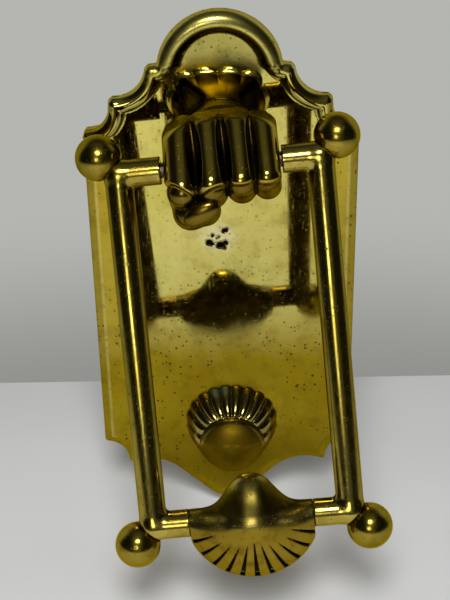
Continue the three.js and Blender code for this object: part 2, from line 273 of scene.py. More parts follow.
def add_values(thing, name, values):
    layer = thing.data.attributes.new(name, "FLOAT", "POINT")
    layer.data.foreach_set("value", np.ascontiguousarray(values, np.float32))


def cast(name, field, low, high, step, origin, turn, body, nodes, material, keep=1.0, marks=()):
    """One piece of cast metal: meshed, placed, given its finish and tied to its body."""
    values, start = sampled(field, low, high, step)
    points, quads = surface_net(values, start, step)
    points = settle(field, points, step)
    thing = new_mesh(name, (origin + points @ turn.T) * MM, quads)
    add_values(thing, "hollow", hollow(field, points, step))
    for mark, values in marks:
        add_values(thing, mark, values(points))
    if keep < 1:
        thin = thing.modifiers.new("thin", "DECIMATE")
        thin.ratio = keep
        with bpy.context.temp_override(object=thing, active_object=thing):
            bpy.ops.object.modifier_apply(modifier=thin.name)
    thing.data.materials.append(material)
    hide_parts(*nodes)
    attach(thing, body)


# ---- the backplate ----
def arc(x, z, radius, start, end, count):
    angles = np.radians(np.linspace(start, end, count))
    return np.stack([x + radius * np.cos(angles), z + radius * np.sin(angles)], 1)


def half_outline():
    return np.concatenate(
        [
            arc(0, TIP_Z + 10, 10, -90, -47, 20),
            arc(31, -98.5, 17.5, 135, 68, 28),
            [(38.3, -82.4)],
            arc(47.6, -80.9, 8.6, 180, 92, 24),
            [(HALF_WIDTH, -71.4), (HALF_WIDTH, SHOULDER_Z)],
            arc(47.3, 66.3, 8.7, 270, 180, 26),
            [(38.4, 68.6)],
            arc(36.5, 80.8, 11, 273, 187, 28),
            [(24.4, 80.8)],
            arc(0, ARCH_Z, ARCH_RADIUS, 9, 90, 34),
        ]
    )


class Outline:
    """Signed distance to the plate's outline, negative inside, on a fine grid in its plane."""

    def __init__(self):
        self.step = 0.4
        self.x0, self.z0 = -1.0, -104.0
        half = half_outline()
        a, b = half[:-1], half[1:]
        xs = self.x0 + np.arange(int(54 / self.step)) * self.step
        zs = self.z0 + np.arange(int(208 / self.step)) * self.step
        gx, gz = np.meshgrid(np.abs(xs), zs, indexing="ij")
        nearest = np.full(gx.shape, 1e9)
        crossings = np.zeros(gx.shape, int)
        for (ax, az), (bx, bz) in zip(a, b):
            dx, dz = bx - ax, bz - az
            t = np.clip(((gx - ax) * dx + (gz - az) * dz) / (dx * dx + dz * dz + 1e-12), 0, 1)
            away = np.hypot(gx - ax - t * dx, gz - az - t * dz)
            nearest = np.minimum(nearest, away)
            spans = (az > gz) != (bz > gz)
            if abs(dz) > 1e-9:
                crossings += spans & (gx < ax + (gz - az) * dx / dz)
        self.grid = np.where(crossings % 2 == 1, -nearest, nearest)

    def __call__(self, x, z):
        u = np.clip((np.abs(x) - self.x0) / self.step, 0, self.grid.shape[0] - 1.001)
        w = np.clip((z - self.z0) / self.step, 0, self.grid.shape[1] - 1.001)
        i, j = u.astype(int), w.astype(int)
        fu, fw = u - i, w - j
        g = self.grid
        low = g[i, j] * (1 - fw) + g[i, j + 1] * fw
        high = g[i + 1, j] * (1 - fw) + g[i + 1, j + 1] * fw
        return low * (1 - fu) + high * fu


outline = Outline()
BEVEL_WIDTH = 3.2
BEVEL_DROP = 1.3
HOOD_RADIUS = 2.7
HOOD_SWELL = 0.9
EDGE_ROUND = 0.5
BEVEL_ROUND = 0.35
POCKET_ROUND = 0.4
RIB_ROUND = 0.6
PIT_ROUND = 0.25
# Above the shoulders the edge draws in towards the back
TAPER = 0.75
TAPER_START = 5.0
# Casting pits below the fist: x, z, half width, half height, depth
PITS = (
    (-5.0, 14.4, 1.3, 1.0, 0.9),
    (-3.9, 13.7, 0.8, 0.6, 0.7),
    (-0.9, 13.2, 1.7, 1.2, 1.0),
    (0.9, 14.2, 0.9, 0.8, 0.8),
    (0.6, 12.3, 0.5, 0.9, 0.6),
    (0.5, 19.0, 1.0, 0.8, 0.9),
    (1.4, 19.6, 0.5, 0.5, 0.6),
    (-3.7, 17.2, 0.6, 0.6, 0.6),
    (-2.2, 16.2, 0.35, 0.35, 0.5),
    (-1.4, 16.6, 0.3, 0.4, 0.5),
    (-5.6, 17.0, 0.3, 0.3, 0.4),
    (-1.0, 20.6, 0.3, 0.3, 0.4),
    (2.6, 17.4, 0.3, 0.3, 0.4),
)


def plate_field(x, y, z):
    """The plate with its bevel, hood moulding, back pockets, stud holes and casting pits."""
    d = outline(x, z)
    front = -PLATE_DEPTH - y
    slope = (front * BEVEL_WIDTH + (d + BEVEL_WIDTH) * BEVEL_DROP) / math.hypot(BEVEL_WIDTH, BEVEL_DROP)
    taper = TAPER * np.maximum(y + TAPER_START, 0) * step01((z - SHOULDER_Z) / 6)
    body = smax(smax(d + taper, front, EDGE_ROUND), slope, BEVEL_ROUND)
    top = step01((z - SHOULDER_Z + 0.3) / 1.2)
    wide = step01((z - ARCH_Z - 0.5) / 3) * step01((ARCH_RADIUS + 4 - np.abs(x)) / 2)
    radius = (HOOD_RADIUS + HOOD_SWELL * wide) * top + 0.2
    bead = np.sqrt((d + radius) ** 2 + (y + PLATE_DEPTH + 0.4) ** 2) - radius
    bead = np.maximum(bead, SHOULDER_Z - 0.2 - z)
    body = smin(body, bead, EDGE_ROUND)
    pocket = smax(d + RIM, -RECESS_DEPTH - y, POCKET_ROUND)
    pocket = smax(pocket, RIB_HALF - np.abs(z), RIB_ROUND)
    body = smax(body, -pocket, POCKET_ROUND)
    body = np.maximum(body, y)
    for hx, hz in ((CUFF_X, CUFF_Z), (PAD_X, PAD_Z)):
        body = np.maximum(body, STUD_HOLE - np.hypot(x - hx, z - hz))
    for px, pz, wide, high, deep in PITS:
        pit = ellipsoid(x, y, z, (px, -PLATE_DEPTH, pz), (wide, deep, high))
        body = smax(body, -pit, PIT_ROUND)
    return body


# ---- the cuff ----
LOBES = 13
CUFF_HALF = 13.0
CUFF_FLARE = 3.4
FLARE_POWER = 2.2
# The drum leans: its middle at the plate, and how much further right and lower it is at the wrist
CUFF_MIDDLE = 1.1
CUFF_RUN = 1.4
CUFF_SINK = 0.4
# Round at the wrist, nearly square at the plate
ROUND_POWER = 2
SQUARER = 1.7
LIP_START = 0.91
LIP_LENGTH = 0.06
LIP_STEP = 0.2
LIP_WAVE = 1.1
DRUM_WAVE = 0.6


def cuff_field(x, y, z):
    """The drum between the plate and the wrist, with its lobed lip against the plate."""
    t = np.clip((y + CUFF_FRONT) / (CUFF_FRONT - PLATE_DEPTH), 0, 1)
    dx = x - CUFF_X - CUFF_MIDDLE - CUFF_RUN * (1 - t)
    dz = z - CUFF_Z + CUFF_SINK * (1 - t)
    angle = np.arctan2(dz, dx)
    power = ROUND_POWER + SQUARER * step01(t * 1.3)
    wave = np.abs(np.sin((angle - math.pi / 2) * LOBES / 2)) ** 0.7
    lip = step01((t - LIP_START) / LIP_LENGTH)
    half = CUFF_HALF + CUFF_FLARE * t**FLARE_POWER + lip * (LIP_STEP + LIP_WAVE * wave)
    half = half + DRUM_WAVE * (wave - 0.5) * step01((t - 0.5) / 0.35)
    reach = (np.abs(dx) ** power + np.abs(dz) ** power + 1e-9) ** (1 / power)
    side = (reach - half) * 0.9
    body = smax(side, -CUFF_FRONT - y, 0.8)
    body = np.maximum(body, y + PLATE_DEPTH + GAP)
    around = np.hypot(dx, dz)
    socket = smax(around - WRIST_RADIUS - GAP, y + CUFF_FRONT - SOCKET_DEPTH, 0.3)
    body = smax(body, -socket, 0.4)
    return np.maximum(body, STUD_HOLE - np.hypot(x - CUFF_X, z - CUFF_Z))


# ---- the fist, about the middle of its pin ----
# Each finger: knuckle, bend, fold and tip as balls, then its ledge: height, slope and curve.
FINGERS = (
    ((-12.6, 4.0, 13.1, 5.6), (-12.8, -11.2, -2.1, 5.6), (-12.9, -9.4, -4.4, 5.1), (-13.0, -5.2, -7.6, 4.8),
     (0.7, -0.85, 0.0)),
    ((-3.6, 4.0, 14.2, 5.7), (-3.3, -11.4, -1.2, 5.6), (-3.4, -9.6, -3.8, 5.1), (-3.5, -6.4, -6.8, 4.9),
     (-0.9, 0.45, 0.0)),
    ((5.8, 4.0, 14.4, 5.4), (6.2, -11.4, -1.0, 5.3), (6.2, -9.6, -2.8, 4.9), (6.1, -6.4, -6.2, 4.7),
     (-0.5, 0.0, 0.13)),
    ((14.0, 3.0, 12.5, 5.0), (14.4, -10.8, -1.0, 4.9), (14.4, -9.0, -2.4, 4.6), (14.4, -6.2, -6.0, 4.4),
     (-0.5, 0.0, 0.14)),
)
LEDGE_FRONT = -16.5
LEDGE_TILT = 0.9
# The palm between the fingers and the wrist: half width and half height, middle, and how square it is
PALM_HALF = (18.2, 12.6)
PALM_MIDDLE = (0.2, 3.4)
PALM_SQUARE = 0.5
HEEL = (0, 1, -1)
HEEL_SIZE = (15, 9, 9)
FIST_HALF = 19.2
WRIST_FROM = 1.0
WRIST_RUN = 11.0
RIDGE_X = 1
RIDGE_Z = 16.5
RIDGE_DROP = 0.006
RIDGE_CORNER = 0.00002
# The grooves between the fingers: x at the ridge, x at the ledge, half width
GROOVES = ((-8.3, -7.6, 2.2), (1.2, 2.0, 1.8), (10.3, 10.9, 1.3))
GROOVE_MIDDLE = (-8.9, 8.2)
GROOVE_ALONG = (-0.68, -0.733)
GROOVE_SIZE = (12.4, 3.2)
THUMB = ((-13.2, 1.5, -9.5, 5.6), (-11.2, -6.8, -12.8, 5.5), (-6.2, -10.0, -11.2, 5.0))
NAIL = (-7.4, -14.2, -10.4)
NAIL_SIZE = (6.3, 2.2, 3.7)
NAIL_TILT = math.radians(26)
WRIST_X, WRIST_Z = 0.9, 5.2
STUD_X, STUD_Z = -1.66, 5.42
STUD_END = 7.6


def finger_grooves(x, y, z, deep=GROOVE_SIZE[1]):
    """The lens-shaped hollows between the fingers."""
    dy, dz = y - GROOVE_MIDDLE[0], z - GROOVE_MIDDLE[1]
    along = dy * GROOVE_ALONG[0] + dz * GROOVE_ALONG[1]
    out = dz * GROOVE_ALONG[0] - dy * GROOVE_ALONG[1]
    hollows = np.full_like(along, FAR)
    for top_x, low_x, half in GROOVES:
        centre = (top_x + low_x) / 2 + (low_x - top_x) / 2 * along / GROOVE_SIZE[0]
        lens = ellipsoid(x - centre, out, along, (0, 0, 0), (half, deep, GROOVE_SIZE[0]))
        hollows = np.minimum(hollows, lens)
    return hollows


def hand_field(x, y, z):
    """The fist: palm, fingers down to their ledges, folded ends, thumb and wrist, then its bores."""
    t = step01((y - WRIST_FROM) / WRIST_RUN)
    wide = PALM_HALF[0] + (WRIST_RADIUS - PALM_HALF[0]) * t
    high = PALM_HALF[1] + (WRIST_RADIUS - PALM_HALF[1]) * t
    middle_x = PALM_MIDDLE[0] + (WRIST_X - PALM_MIDDLE[0]) * t
    middle_z = PALM_MIDDLE[1] + (WRIST_Z - PALM_MIDDLE[1]) * t
    power = 2 + PALM_SQUARE - PALM_SQUARE * t
    u, w = np.abs(x - middle_x) / wide, np.abs(z - middle_z) / high
    palm = ((u**power + w**power + 1e-9) ** (1 / power) - 1) * np.minimum(wide, high) * 0.85
    palm = smax(palm, -0.2 - y, 0.5)
    palm = smin(palm, ellipsoid(x, y, z, HEEL, HEEL_SIZE), 2)
    firsts = np.full_like(palm, FAR)
    seconds = firsts
    for knuckle, bend, fold, tip, (ledge, slope, curve) in FINGERS:
        across = x - bend[0]
        shelf = ledge + slope * across + curve * across**2 - LEDGE_TILT * (y - LEDGE_FRONT) - z
        first = smax(cone(x, y, z, knuckle, bend), shelf * 0.75, 0.35)
        firsts = smin(firsts, first, 0.9)
        curl = cone(x, y, z, tip, (tip[0], 4.0, tip[2] + 0.2, tip[3]))
        seconds = smin(seconds, smin(cone(x, y, z, fold, tip), curl, 1.0), 0.3)
    from_middle = x - RIDGE_X
    ridge_line = z - RIDGE_Z + RIDGE_DROP * from_middle**2 + RIDGE_CORNER * from_middle**4
    firsts = smax(firsts, ridge_line, 1.2)
    firsts = smax(firsts, -finger_grooves(x, y, z), 0.8)
    fist = smin(smin(palm, seconds, 0.3), firsts, 0.3)
    thumb = smin(cone(x, y, z, THUMB[0], THUMB[1]), cone(x, y, z, THUMB[1], THUMB[2]), 1.5)
    cos, sin = math.cos(NAIL_TILT), math.sin(NAIL_TILT)
    nx, nz = x - NAIL[0], z - NAIL[2]
    nail = ellipsoid(nx * cos + nz * sin, y - NAIL[1], nz * cos - nx * sin, (0, 0, 0), NAIL_SIZE)
    thumb = smin(thumb, nail, 0.15)
    fist = smin(fist, thumb, 0.3)
    fist = smax(fist, np.abs(x) - FIST_HALF, 0.6)
    around = np.hypot(x - WRIST_X, z - WRIST_Z)
    fist = smin(fist, smax(around - WRIST_RADIUS, 8 - y, 0.5), 1.5)
    wrist_end = -PIVOT[1] - CUFF_FRONT + SOCKET_DEPTH - GAP
    fist = np.maximum(fist, y - wrist_end)
    beyond = np.maximum(wrist_end - SOCKET_DEPTH - y, WRIST_RADIUS - around)
    fist = smax(fist, -beyond, 0.2)
    fist = np.maximum(fist, PIN_BORE - np.hypot(y, z))
    stud = smax(np.hypot(x - STUD_X, z - STUD_Z) - STUD_HOLE, STUD_END - y, 0.1)
    return np.maximum(fist, -stud)


# ---- the strike pad ----
PAD_RADIUS = 17.6
PAD_TOP = 18.0
PAD_STUD_END = 9
# The outline is flatter over the ribs and runs out to a point below
CROWN_CUT = 1.9
POINT_LENGTH = 6.6
# The smooth face: how far its middle is below the pad's, its radius, and its height at the edge
FACE_DROP = 5.0
FACE_RADIUS = 12.6
FACE_EDGE = 10.0
RIB_TOP = 9.8
RIB_ANGLE = math.radians(18)
RIB_SWELL = 0.176


def pad_field(x, y, z):
    """The ribbed fan above, the smooth face in front of it and the plain dome below."""
    dx, dz = x - PAD_X, z - PAD_Z
    angle = np.arctan2(dz, dx)
    radius = np.hypot(dx, dz)
    rise = np.sin(angle)
    reach = PAD_RADIUS - CROWN_CUT * np.maximum(0, rise) ** 2 + POINT_LENGTH * np.maximum(0, -rise) ** 5
    upper = step01((rise + 0.42) / 0.5)
    rib = np.abs(np.sin((angle - math.pi / 2) * math.pi / RIB_ANGLE)) ** 0.5
    inner = np.sqrt(FACE_RADIUS**2 - (FACE_DROP * np.cos(angle)) ** 2) - FACE_DROP * rise
    out = (radius - inner) / np.maximum(reach - inner, 2.0)
    ribbed = out - (rib - 0.75) * RIB_SWELL * step01((out + 0.15) / 0.25)
    ribs = RIB_TOP * np.sign(1 - ribbed) * np.abs(1 - np.clip(ribbed, 0, 2) ** 1.4) ** 0.8
    from_face = np.hypot(dx, dz + FACE_DROP) / FACE_RADIUS
    face = FACE_EDGE + (PAD_TOP - FACE_EDGE) * np.sqrt(np.maximum(1 - from_face**2, 0))
    fan = np.where(from_face < 1, np.maximum(face, ribs), ribs)
    s = radius / reach
    dome = PAD_TOP * np.sign(1 - s) * np.abs(1 - s**2.1) ** (0.62 + 0.35 * step01(-rise))
    height = dome + (fan - dome) * upper
    lift = -PLATE_DEPTH - GAP - y
    body = (lift - height) * 0.4
    body = smax(body, (radius - reach - 0.6) * 0.9, 0.4)
    body = np.maximum(body, -lift)
    return np.maximum(body, np.minimum(STUD_HOLE - radius, PAD_STUD_END - lift))


# ---- the bail, hanging down from its pin ----
def bail_bars(x, y, z):
    """All the bars of the bail as one, both sides."""
    ax = np.abs(x)
    upright = cone(ax, y, z, (ROD_X, 0, 0, ROD_RADIUS), (ROD_X, 0, -BAIL_DROP, ROD_RADIUS))
    top = cone(ax, y, z, (STUB_INNER_X - 6, 0, 0, ROD_RADIUS), (ROD_X, 0, 0, ROD_RADIUS))
    low = cone(ax, y, z, (8, 0, -BAIL_DROP, ROD_RADIUS), (ROD_X, 0, -BAIL_DROP, ROD_RADIUS))
    return smin(smin(upright, top, 1.6), low, 1.6)


def bail_side(x, y, z):
    """One side of the bail, cut off at the fist and at the shell, with the seat of the pin."""
    bars = bail_bars(x, y, z)
    ax = np.abs(x)
    stub_x = STUB_INNER_X - np.sign(x) * BAIL_SHIFT
    inner = np.where(z > -BAIL_DROP / 2, stub_x, SHELL_HALF + SEAM)
    body = smax(bars, inner - ax, 0.25)
    pin = np.maximum(np.hypot(y, z) - PIN_SEAT_RADIUS, ax - PIN_SEAT_END)
    return np.maximum(body, -pin)


def ball_field(sx, cz):
    centre = (sx * (ROD_X + BALL_OFFSET), 0, cz + (BALL_OFFSET if cz == 0 else -BALL_OFFSET))

    def field(x, y, z):
        body = sphere(x, y, z, centre, BALL_RADIUS)
        return smax(body, GAP - bail_bars(x, y, z), 0.5)

    return field, centre


SHELL_X = 0.3
SHELL_BACK = 5.2
FAN_Z = -BAIL_DROP + 2.4
FAN_HALF = 22.9
FAN_RADIUS = 22.3
FAN_DEEP = 10.5
FAN_ARC = math.radians(80)
CROWN_SPREAD = 9.4
CROWN_POWER = 2.8
CROWN_RISE = 11.2
CROWN_DEEP = 4.6
CROWN_LEAN = 2.4
GROOVE_STEP = math.radians(13.75)
GROOVES_EACH_SIDE = 5
# Where a groove begins at the middle of the fan, how much further out at its ends, and how it widens
GROOVE_START = 8.0
GROOVE_SPREAD = 6.0
GROOVE_WIDENS = 0.065
GROOVE_DEPTH = 1.6


def fan_grooves(x, z):
    """The grooves of the fan, seen from the front, negative inside."""
    dx, dz = x - SHELL_X, z - FAN_Z
    radius = np.hypot(dx, dz)
    angle = np.arctan2(dz, dx) + math.pi / 2
    angle = np.where(angle > math.pi, angle - 2 * math.pi, angle)
    nearest = np.clip(np.round(angle / GROOVE_STEP), -GROOVES_EACH_SIDE, GROOVES_EACH_SIDE) * GROOVE_STEP
    away = np.abs(np.sin(angle - nearest)) * radius
    start = GROOVE_START + GROOVE_SPREAD * np.abs(np.sin(nearest)) ** 1.2
    groove = np.maximum(away - GROOVE_WIDENS * (radius - start), start - radius)
    groove = np.maximum(groove, radius - FAN_RADIUS + 0.6)
    return np.maximum(groove, np.abs(angle) - FAN_ARC)


def shell_field(x, y, z):
    """The striker: a crown over the bar and a grooved fan below it."""
    dx = x - SHELL_X
    hump = np.exp(-((np.abs(dx) / CROWN_SPREAD) ** CROWN_POWER))
    up, down = ROD_RADIUS + CROWN_RISE * hump, ROD_RADIUS
    deep = ROD_RADIUS + CROWN_DEEP * hump
    middle_y = -CROWN_LEAN * hump
    rise = z + BAIL_DROP
    high = np.where(rise > 0, up, down + 3.0 * hump)
    ring = np.hypot((y - middle_y) / deep, rise / high)
    crown = (ring - 1) * np.minimum(deep, high) * 0.8
    fan = ellipsoid(x, y, z, (SHELL_X, 0, FAN_Z), (FAN_HALF, FAN_DEEP, FAN_RADIUS))
    fan = smax(fan, rise - 2.0, 4.0)
    body = smin(crown, fan, 2.0)
    body = smax(body, y - SHELL_BACK, 1.0)
    groove = np.maximum(fan_grooves(x, z), -(body + GROOVE_DEPTH))
    groove = np.maximum(groove, y - 3.0)
    body = smax(body, -groove, 0.3)
    return smax(body, np.abs(x) - SHELL_HALF, 0.3)


# ---- materials ----
class Nodes:
    """A short way to write a node tree."""

    def __init__(self, name):
        self.material = bpy.data.materials.new(name)
        self.material.use_nodes = True
        self.tree = self.material.node_tree
        self.shader = self.tree.nodes["Principled BSDF"]
        self.place = self.add("ShaderNodeTexCoord").outputs["Object"]

    def add(self, kind, inputs=(), **settings):
        node = self.tree.nodes.new(kind)
        for key, value in settings.items():
            setattr(node, key, value)
        for key, value in dict(inputs).items():
            self.set(node.inputs[key], value)
        return node

    def set(self, socket, value):
        if isinstance(value, bpy.types.NodeSocket):
            self.tree.links.new(value, socket)
        else:
            socket.default_value = value

    def math(self, operation, a, b=0.0, clamp=False):
        node = self.add("ShaderNodeMath", {0: a, 1: b}, operation=operation, use_clamp=clamp)
        return node.outputs[0]

    def mapped(self, value, low, high, to_low=0.0, to_high=1.0):
        inputs = {"Value": value, "From Min": low, "From Max": high, "To Min": to_low, "To Max": to_high}
        return self.add("ShaderNodeMapRange", inputs, clamp=True).outputs["Result"]

    def noise(self, scale, detail=3.0, stretch=None, rough=0.5, distortion=0.0):
        place = self.place
        if stretch:
            place = self.add("ShaderNodeMapping", {"Vector": place, "Scale": stretch}).outputs[0]
        inputs = {"Vector": place, "Scale": scale, "Detail": detail, "Roughness": rough}
        inputs["Distortion"] = distortion
        return self.add("ShaderNodeTexNoise", inputs).outputs["Fac"]

    def specks(self, scale, size):
        """Small round spots, scattered, each with a size of its own."""
        node = self.add("ShaderNodeTexVoronoi", {"Vector": self.place, "Scale": scale})
        parts = self.add("ShaderNodeSeparateColor", {"Color": node.outputs["Color"]})
        chance = self.mapped(parts.outputs[0], 0.55, 1.0, 0.0, size)
        return self.mapped(self.math("SUBTRACT", chance, node.outputs["Distance"]), 0.0, 0.06)

    def mix(self, amount, a, b):
        node = self.add("ShaderNodeMix", {"Factor": amount}, data_type="RGBA")
        self.set(node.inputs[6], a)
        self.set(node.inputs[7], b)
        return node.outputs[2]

    def along(self, axis):
        """The place along one axis, in metres."""
        return self.add("ShaderNodeSeparateXYZ", {"Vector": self.place}).outputs[axis]

    def attribute(self, name):
        return self.add("ShaderNodeAttribute", attribute_name=name).outputs["Fac"]


BUMP_DEPTH = 0.00006
BUMP_SHARE = 0.5
# The colour of brass seen at a glancing angle
EDGE_TINT = (0.80, 0.68, 0.30, 1)
SPOT_BROWN = (0.05, 0.033, 0.01, 1)
MOTTLE_BROWN = (0.13, 0.075, 0.006, 1)
CREVICE_BLACK = (0.010, 0.007, 0.002, 1)
# Where the painted shade on the plate begins, in metres: down its face, and out towards its sides
SHADE_HEIGHT = (-0.012, -0.036)
SHADE_EDGE = (0.034, 0.040)
SHADE_EDGE_SHARE = 0.85
# Where the plate turns dull, in metres, and by how much: low down, and above the cuff
DULL_LOW = (-0.014, -0.040, 0.3)
DULL_TOP = (0.077, 0.083, 0.2)


def shade_share(n, height):
    """How much painted shade the plate takes: 0 high up and in the middle, up to 1 low down and at its
    sides.
    """
    shaded = n.mapped(height, *SHADE_HEIGHT)
    edge = n.math("ABSOLUTE", n.along("X"))
    return n.math("MAXIMUM", shaded, n.mapped(edge, *SHADE_EDGE, 0.0, SHADE_EDGE_SHARE))


def scratch_lines(n):
    """Fine scratches, some upright and some level."""
    scratches = n.noise(1.0, 4, stretch=(2600, 2600, 160), rough=0.7)
    cross = n.noise(1.0, 3, stretch=(240, 2400, 1900), rough=0.7)
    return n.math("ADD", n.mapped(scratches, 0.62, 0.72), n.mapped(cross, 0.66, 0.74))


def brass(name, light, deep, rough, speck=0.3, dirt=(0.42, 0.78), scratch=0.3, grain=0.2, pitted=0.8,
          shade_tints=None, stains_and_painted_light=(), lean=0.0, mottle=0.0):
    n = Nodes(name)
    broad = n.noise(38, 4, rough=0.6, distortion=0.4)
    fine = n.noise(420, 3)
    amount = n.mapped(broad, 0.35, 0.68)
    tint = n.mix(amount, light, deep)
    # Painted shade: the plate's tint turns darker and deeper low down and at its sides, and its specks are
    # stronger there
    if shade_tints:
        height = n.math("ADD", n.along("Z"), n.math("MULTIPLY", n.math("SUBTRACT", broad, 0.5), 0.03))
        shaded = shade_share(n, height)
        tint = n.mix(shaded, tint, n.mix(amount, *shade_tints))
    cloudy = n.mapped(n.noise(900, 2), 0.3, 0.7, -0.1, 0.1)
    dark = n.mapped(n.math("ADD", n.attribute("hollow"), cloudy), *dirt)
    spots = n.math("MAXIMUM", n.specks(760, speck), n.specks(330, speck * 0.55))
    spots = n.math("MULTIPLY", spots, n.mapped(n.noise(24, 2), 0.36, 0.5))
    if shade_tints:
        spots = n.math("MULTIPLY", spots, n.mapped(shaded, 0.0, 1.0, 0.45, 1.0))
    tint = n.mix(n.math("MULTIPLY", spots, 0.8), tint, SPOT_BROWN)
    blunt = 0.0
    # Real stains, and marks of painted shade and painted highlight
    for mark, colour, strength, blunter in stains_and_painted_light:
        share = n.attribute(mark)
        tint = n.mix(n.math("MULTIPLY", share, strength), tint, colour)
        blunt = n.math("ADD", blunt, n.math("MULTIPLY", share, blunter))
    if mottle:
        patches = n.mapped(n.noise(150, 5, rough=0.65), 0.48, 0.66, 0.0, mottle)
        tint = n.mix(patches, tint, MOTTLE_BROWN)
        blunt = n.math("ADD", blunt, n.math("MULTIPLY", patches, 0.2))
    n.set(n.shader.inputs["Base Color"], n.mix(dark, tint, CREVICE_BLACK))
    n.shader.inputs["Specular Tint"].default_value = EDGE_TINT
    n.set(n.shader.inputs["Metallic"], n.mapped(dark, 0.0, 1.0, 1.0, 0.8))

    lines = scratch_lines(n)
    uneven = n.math("ADD", n.math("MULTIPLY", broad, 0.7), n.math("MULTIPLY", fine, 0.3))
    dull = n.mapped(uneven, 0.35, 0.68, *rough)
    if shade_tints:
        for start, end, more in (DULL_LOW, DULL_TOP):
            dull = n.math("ADD", dull, n.mapped(height, start, end, 0.0, more))
    dull = n.math("ADD", dull, n.math("MULTIPLY", lines, scratch * 0.25))
    dull = n.math("ADD", dull, n.math("MULTIPLY", n.math("ADD", dark, spots), 0.2))
    n.set(n.shader.inputs["Roughness"], n.math("ADD", dull, blunt, clamp=True))

    relief = n.math("ADD", n.math("MULTIPLY", fine, grain), n.math("MULTIPLY", lines, -scratch))
    relief = n.math("ADD", relief, n.math("MULTIPLY", spots, -pitted))
    if lean:
        slope = -lean / (BUMP_DEPTH * BUMP_SHARE)
        relief = n.math("ADD", relief, n.math("MULTIPLY", n.along("X"), slope))
    bump = n.add("ShaderNodeBump", {"Height": relief, "Strength": BUMP_SHARE, "Distance": BUMP_DEPTH})
    n.set(n.shader.inputs["Normal"], bump.outputs[0])
    return n.material


PLATE_TINTS = ((0.64, 0.57, 0.165, 1), (0.53, 0.45, 0.09, 1))
# The plate's tints low down and at its sides: painted shade
SHADE_TINTS = ((0.40, 0.29, 0.012, 1), (0.31, 0.21, 0.006, 1))
PAD_TINTS = ((0.46, 0.38, 0.11, 1), (0.34, 0.26, 0.05, 1))
HAND_TINTS = ((0.50, 0.38, 0.065, 1), (0.38, 0.27, 0.03, 1))
# The cuff's brass, darkened nearly to black: painted shade
CUFF_SHADE_TINTS = ((0.045, 0.027, 0.001, 1), (0.03, 0.018, 0.0008, 1))
BAIL_TINTS = ((0.50, 0.40, 0.085, 1), (0.36, 0.27, 0.035, 1))
BALL_TINTS = ((0.38, 0.29, 0.04, 1), (0.27, 0.195, 0.02, 1))
SHELL_TINTS = ((0.56, 0.46, 0.12, 1), (0.40, 0.30, 0.05, 1))
FIXING_TINTS = ((0.60, 0.47, 0.20, 1), (0.44, 0.33, 0.12, 1))
STEEL_TINTS = ((0.09, 0.08, 0.06, 1), (0.05, 0.045, 0.035, 1))
PALE = (0.80, 0.74, 0.50, 1)
# Pale gold for a painted highlight on the plate's bevel line
RIDGE_HIGHLIGHT = (0.80, 0.70, 0.25, 1)
# Gold for a painted highlight on the cuff's lip
LIP_HIGHLIGHT = (0.60, 0.50, 0.08, 1)
FAN_GOLD = (0.30, 0.195, 0.01, 1)
# Dark brown for painted shade on the pad
FACE_SHADE = (0.17, 0.105, 0.003, 1)
# Brown for painted shade under the fist's ledges
UNDER_SHADE = (0.13, 0.08, 0.007, 1)
# Brown for painted shade on the sides of the bail
FLANK_SHADE = (0.10, 0.065, 0.01, 1)
# Dark brown for painted shade on the back of the hand
TOP_SHADE = (0.08, 0.058, 0.005, 1)
SHADE_BROWN = (0.06, 0.045, 0.005, 1)
# Near black, for painted shade
SHADE_BLACK = (0.020, 0.013, 0.003, 1)
PIT_BLACK = (0.004, 0.003, 0.002, 1)
GREEN = (0.08, 0.20, 0.20, 1)
# The face's shape is square to its back. Its shading leans, in radians, because the reflections sit as
# they would on a face that looked a few degrees to the right.
PLATE_LEAN = 0.054
plate_brass = brass(
    "plate_brass", *PLATE_TINTS, rough=(0.02, 0.06), speck=0.42, scratch=0.08, grain=0.04, pitted=0.15,
    shade_tints=SHADE_TINTS, lean=PLATE_LEAN, mottle=0.25,
    stains_and_painted_light=(
        ("halo", PALE, 0.4, 0.1),
        # ridge: a painted highlight along the bevel line
        ("ridge", RIDGE_HIGHLIGHT, 0.45, 0.1),
        ("pits", PIT_BLACK, 1.0, 0.4),
        # under: painted shade, near black, on the inner side of the hood
        ("under_shade", SHADE_BLACK, 0.95, 0.0),
    ),
)
pad_brass = brass(
    "pad_brass", *PAD_TINTS, rough=(0.06, 0.14), speck=0.25, dirt=(0.3, 0.6), mottle=0.6,
    # face: painted shade over the face and the lower pad
    stains_and_painted_light=(("face", FACE_SHADE, 0.97, 0.4), ("verdigris", GREEN, 0.7, 0.4)),
)
hand_brass = brass(
    "hand_brass", *HAND_TINTS, rough=(0.08, 0.16), speck=0.2, dirt=(0.3, 0.55), mottle=0.3,
    # groove: painted shade in the finger grooves
    # top: painted shade on the back of the hand
    # under: painted shade below the ledges
    stains_and_painted_light=(("under_shade", UNDER_SHADE, 0.85, 0.1), ("top", TOP_SHADE, 0.92, 0.15), ("groove", SHADE_BLACK, 1.0, 0.1)),
)
